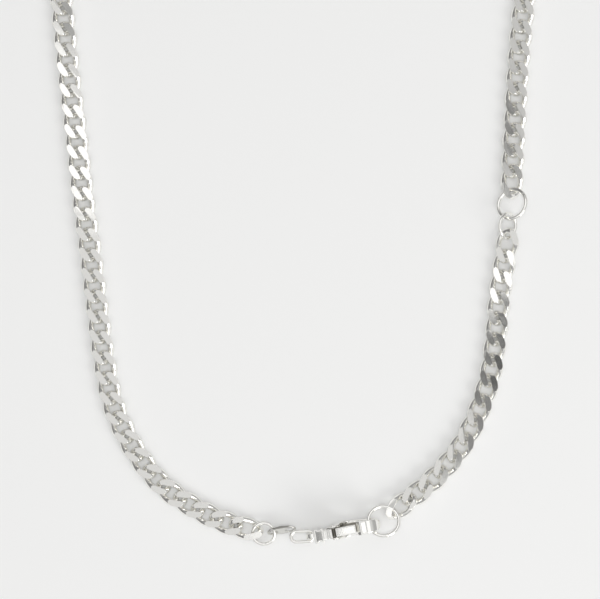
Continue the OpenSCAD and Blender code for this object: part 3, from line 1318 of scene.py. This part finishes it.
@dataclass
class Studio:
    """A pale table under soft studio light, with the camera straight above.

    Lengths are in metres. The cards hang at the camera's height, where the links' flats
    mirror them, since a level flat shows the point there that is twice as far out. The
    room's light is given for its dim and its bright side low down, for the slope above
    that and for the top. A rise holds the heights between which one passes to the next,
    where zero is level with the table and one is straight up.
    """

    view_centre: tuple[float, float] = (-0.00015, -0.0668)
    view_width: float = 0.09836
    camera_height: float = 0.5
    floor_size: float = 3.0
    floor_drop: float = 0.01 * MM
    floor_colour: str = "#F6F6F5"
    floor_fibre: float = 6 * MM
    floor_roughness: tuple[float, float] = (0.58, 0.66)
    floor_shine: float = 0.3
    bright_side: tuple[float, float, float] = (0.87, -0.5, 0.0)
    side_reach: float = 0.6
    low_light: tuple[float, float] = (0.22, 0.42)
    slope_light: float = 0.66
    slope_rise: tuple[float, float] = (0.37, 0.69)
    top_light: float = 0.7
    top_rise: tuple[float, float] = (0.93, 0.97)
    lights: Sequence[SoftBox] = (
        SoftBox(
            "key_low_right",
            place=(0.5, -0.6, 0.45),
            aim=(0.0, -0.07, 0.0),
            size=(0.5, 0.4),
            power=2.1,
        ),
        SoftBox(
            "fill_above",
            place=(0.0, -0.067, 1.2),
            aim=(0.0, -0.067, 0.0),
            size=(0.3, 0.3),
            power=3.15,
            mirrored=False,
        ),
    )
    cards: Sequence[Card] = (
        Card("white_far", (-0.3, 0.07), (0.42, 0.45), 1.05, Layer.BACK),
        Card("white_near", (-0.3, -0.6), (0.42, -0.2), 1.05, Layer.BACK),
        Card("white_right", (0.115, -0.2), (0.4, 0.07), 1.05, Layer.BACK),
        Card("white_left", (-0.28, -0.2), (-0.115, 0.07), 1.05, Layer.BACK),
        Card("white_left_outer", (-0.1, -0.0368), (-0.074, 0.0192), 1.15),
        Card("white_left_inner", (-0.074, -0.0388), (-0.05, 0.0012), 1.15),
        Card("grey_left_top", (-0.08, 0.0142), (-0.05, 0.0452), 0.36),
        Card("white_tail", (-0.018, -0.156), (-0.006, -0.134), 1.15),
        Card("grey_thumb", (-0.006, -0.158), (0.0118, -0.13), 0.3),
        Card("white_gate", (0.0118, -0.156), (0.035, -0.126), 1.15),
        Card("grey_right", (0.05, -0.0328), (0.094, 0.0372), 0.55),
        Card("dark_right", (0.05, -0.0208), (0.07, 0.0022), 0.2, Layer.FRONT),
        Card("white_extender_right", (0.064, -0.0658), (0.092, -0.0438), 1.2),
        Card("white_extender_left", (0.042, -0.0698), (0.064, -0.0528), 1.2),
        Card("black_extender_right", (0.062, -0.0978), (0.092, -0.0698), 0.11),
        Card("dark_extender_left", (0.036, -0.0988), (0.062, -0.0758), 0.19),
        Card("grey_extender_low", (0.053, -0.1302), (0.092, -0.0978), 0.24),
    )

    def floor(self) -> bpy.types.Object:
        """Lays the table's surface, just under the necklace.

        Returns:
            The table.
        """
        shape = bmesh.new()
        bmesh.ops.create_grid(shape, x_segments=4, y_segments=4, size=self.floor_size / 2)
        bmesh.ops.translate(shape, verts=shape.verts, vec=(0, 0, -self.floor_drop))
        data = bpy.data.meshes.new("table")
        shape.to_mesh(data)
        shape.free()
        data.materials.append(self.board())
        table = bpy.data.objects.new("table", data)
        bpy.context.scene.collection.objects.link(table)
        table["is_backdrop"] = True
        return table

    def board(self) -> bpy.types.Material:
        """Makes the table's matt white board, with a very faint unevenness.

        Returns:
            The material.
        """
        made = bpy.data.materials.new("matt_white_board")
        made.use_nodes = True
        tree = made.node_tree
        tree.nodes.clear()
        place = add_node(tree, "ShaderNodeTexCoord", {}).outputs["Object"]
        fibre = add_node(
            tree,
            "ShaderNodeTexNoise",
            {"Vector": place, "Scale": 1 / self.floor_fibre, "Detail": 4.0},
        )
        tone = add_node(
            tree,
            "ShaderNodeMapRange",
            {
                "Value": fibre.outputs["Fac"],
                "To Min": self.floor_roughness[0],
                "To Max": self.floor_roughness[1],
            },
        )
        shader = add_node(
            tree,
            "ShaderNodeBsdfPrincipled",
            {
                "Base Color": linear(self.floor_colour),
                "Roughness": tone.outputs["Result"],
                "Specular IOR Level": self.floor_shine,
            },
        )
        add_node(tree, "ShaderNodeOutputMaterial", {"Surface": shader.outputs["BSDF"]})
        return made

    def room(self) -> None:
        """Fills the room with pale light that is brightest overhead and dimmest low down."""
        world = bpy.data.worlds.new("studio")
        world.use_nodes = True
        tree = world.node_tree
        tree.nodes.clear()
        way = add_node(tree, "ShaderNodeTexCoord", {}).outputs["Generated"]
        height = add_node(tree, "ShaderNodeSeparateXYZ", {"Vector": way}).outputs["Z"]
        side = add_node(
            tree,
            "ShaderNodeVectorMath",
            {0: way, 1: self.bright_side},
            operation="DOT_PRODUCT",
        )
        level = add_node(
            tree,
            "ShaderNodeMapRange",
            {
                "Value": side.outputs["Value"],
                "From Min": -self.side_reach,
                "From Max": self.side_reach,
                "To Min": self.low_light[0],
                "To Max": self.low_light[1],
            },
        )
        for rise, light in ((self.slope_rise, self.slope_light), (self.top_rise, self.top_light)):
            level = add_node(
                tree,
                "ShaderNodeMapRange",
                {
                    "Value": height,
                    "From Min": rise[0],
                    "From Max": rise[1],
                    "To Min": level.outputs["Result"],
                    "To Max": light,
                },
                interpolation_type="SMOOTHSTEP",
            )
        glow = add_node(
            tree,
            "ShaderNodeBackground",
            {"Color": linear("#FFFFFF"), "Strength": level.outputs["Result"]},
        )
        add_node(tree, "ShaderNodeOutputWorld", {"Surface": glow.outputs["Background"]})
        bpy.context.scene.world = world

    def camera(self) -> bpy.types.Object:
        """Hangs the camera straight above the middle of the view.

        Returns:
            The camera.
        """
        lens = bpy.data.cameras.new("camera")
        lens.sensor_width = 36.0
        lens.lens = lens.sensor_width * self.camera_height / self.view_width
        lens.clip_start = 0.01
        item = bpy.data.objects.new("camera", lens)
        item.location = (*self.view_centre, self.camera_height)
        bpy.context.scene.collection.objects.link(item)
        bpy.context.scene.camera = item
        return item

    def build(self) -> None:
        """Sets the table, the room's light, the lights, the cards and the camera."""
        bpy.context.scene.view_settings.view_transform = "Standard"
        self.floor()
        self.room()
        for item in [*self.lights, *self.cards]:
            item.build()
        self.camera()


def main() -> None:
    """Builds the necklace piece by piece and then the studio round it."""
    logging.basicConfig(level=logging.INFO, format="%(message)s")
    frame = Frame()
    # The links at the chains' ends lie aslant, but their flats lie nearly level
    CurbChain("main_chain_left", odd_tilts={0: (3.9, -5.4)}).build(frame)
    CurbChain("main_chain_right", odd_tilts={62: (2.2, -0.45)}).build(frame)
    CurbChain("extender_chain", odd_tilts={0: (8.0, -5.0), 13: (-1.6, 0.75)}).build(frame)
    JumpRing("tag_ring", outer=4.15, wire=0.56, cut_toward=(0.2, -1.0)).build(frame)
    JumpRing("end_ring", outer=5.65, wire=0.64, cut_toward=(0.3, -1.0)).build(frame)
    JumpRing("length_ring", outer=5.65, wire=0.64, cut_toward=(1.0, 0.6)).build(frame)
    JumpRing("joining_ring", outer=4.6, wire=0.58, cut_toward=(-1.0, -0.3)).build(frame)
    OvalLink().build(frame)
    Tag().build(frame)
    LobsterClasp().build(frame)
    Studio().build()


if __name__ == "__main__":
    main()
